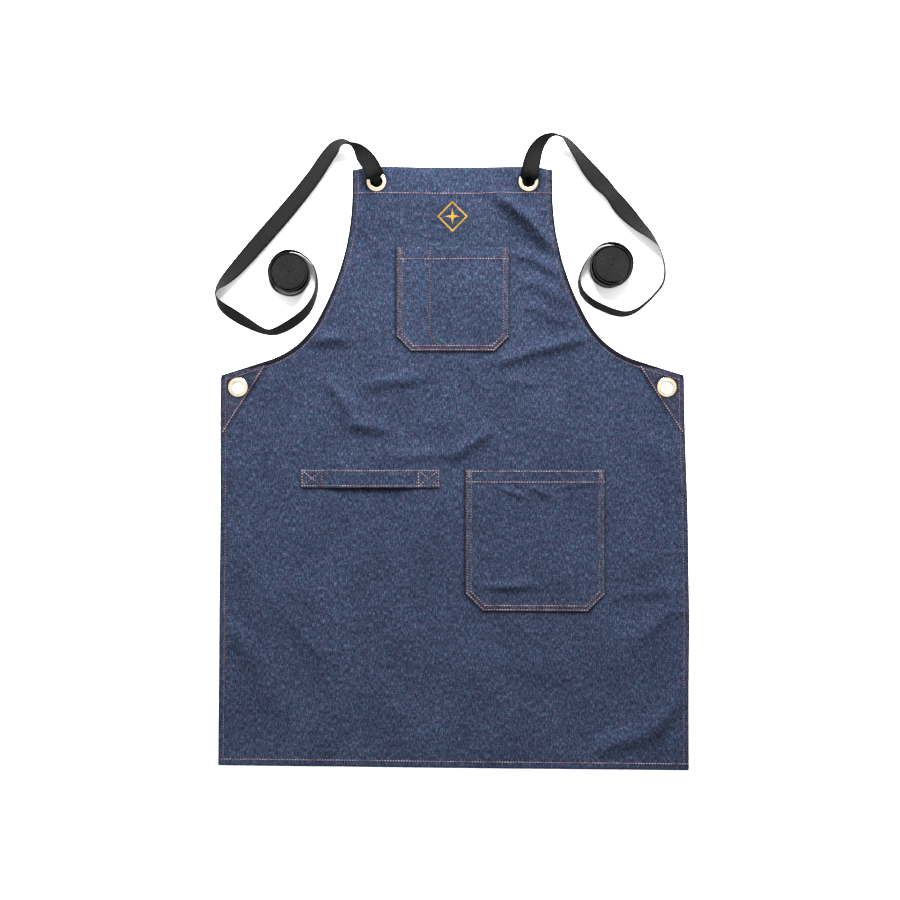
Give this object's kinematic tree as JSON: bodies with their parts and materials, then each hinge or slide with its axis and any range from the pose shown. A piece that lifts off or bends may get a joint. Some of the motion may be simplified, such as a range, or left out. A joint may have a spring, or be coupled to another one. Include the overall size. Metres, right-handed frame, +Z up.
{
  "type": "work apron",
  "caption": "Denim cross-back work apron lying flat, with chest and hand pockets, a towel loop, brass eyelets and webbing straps rolled up beside the bib.",
  "frame": {"origin": "on the table, under the middle of the apron without its straps", "axes": "+Y runs up the apron to the bib, +Z is up from the table through the front of the apron, +X is to the right as seen from the front"},
  "size_m": [0.6616, 0.8844, 0.0424],
  "materials": {
    "denim": "indigo twill, matte, flecked",
    "binding_tape": "dark cotton tape, matte",
    "topstitch_thread": "pinkish orange thread, satin",
    "embroidery_thread": "gold embroidery thread, satin",
    "brass": "polished",
    "webbing": "ribbed cotton webbing, matte"
  },
  "bodies": {
    "apron": {"body_panel": "denim", "bottom_hem_seam": "topstitch_thread", "chest_pocket": "denim", "chest_pocket_seam": "topstitch_thread", "embroidered_mark": "embroidery_thread", "hand_pocket": "denim", "hand_pocket_seam": "topstitch_thread", "left_armhole_binding": "binding_tape", "left_armhole_seam": "topstitch_thread", "left_bib_eyelet": "brass", "left_bib_washer": "brass", "left_corner_patch": "denim", "left_patch_seam": "topstitch_thread", "left_side_eyelet": "brass", "left_side_seam": "topstitch_thread", "left_side_washer": "brass", "pocket_bar_tacks": "topstitch_thread", "right_armhole_binding": "binding_tape", "right_armhole_seam": "topstitch_thread", "right_bib_eyelet": "brass", "right_bib_washer": "brass", "right_corner_patch": "denim", "right_patch_seam": "topstitch_thread", "right_side_eyelet": "brass", "right_side_seam": "topstitch_thread", "right_side_washer": "brass", "top_hem_seam": "topstitch_thread", "towel_loop": "denim", "towel_loop_seam": "topstitch_thread"},
    "left_strap": {"left_strap_run": "webbing", "left_strap_roll": "webbing", "left_strap_knot": "webbing"},
    "right_strap": {"right_strap_run": "webbing", "right_strap_roll": "webbing", "right_strap_knot": "webbing"}
  },
  "joints": [
    {"name": "left_strap_swivel", "type": "hinge", "parent": "apron", "child": "left_strap", "pos_m": [-0.1058, 0.3997, 0.012], "axis": [0, 0, 1], "range_deg": [-60, 0]},
    {"name": "right_strap_swivel", "type": "hinge", "parent": "apron", "child": "right_strap", "pos_m": [0.1058, 0.3997, 0.012], "axis": [0, 0, 1], "range_deg": [0, 60]}
  ]
}
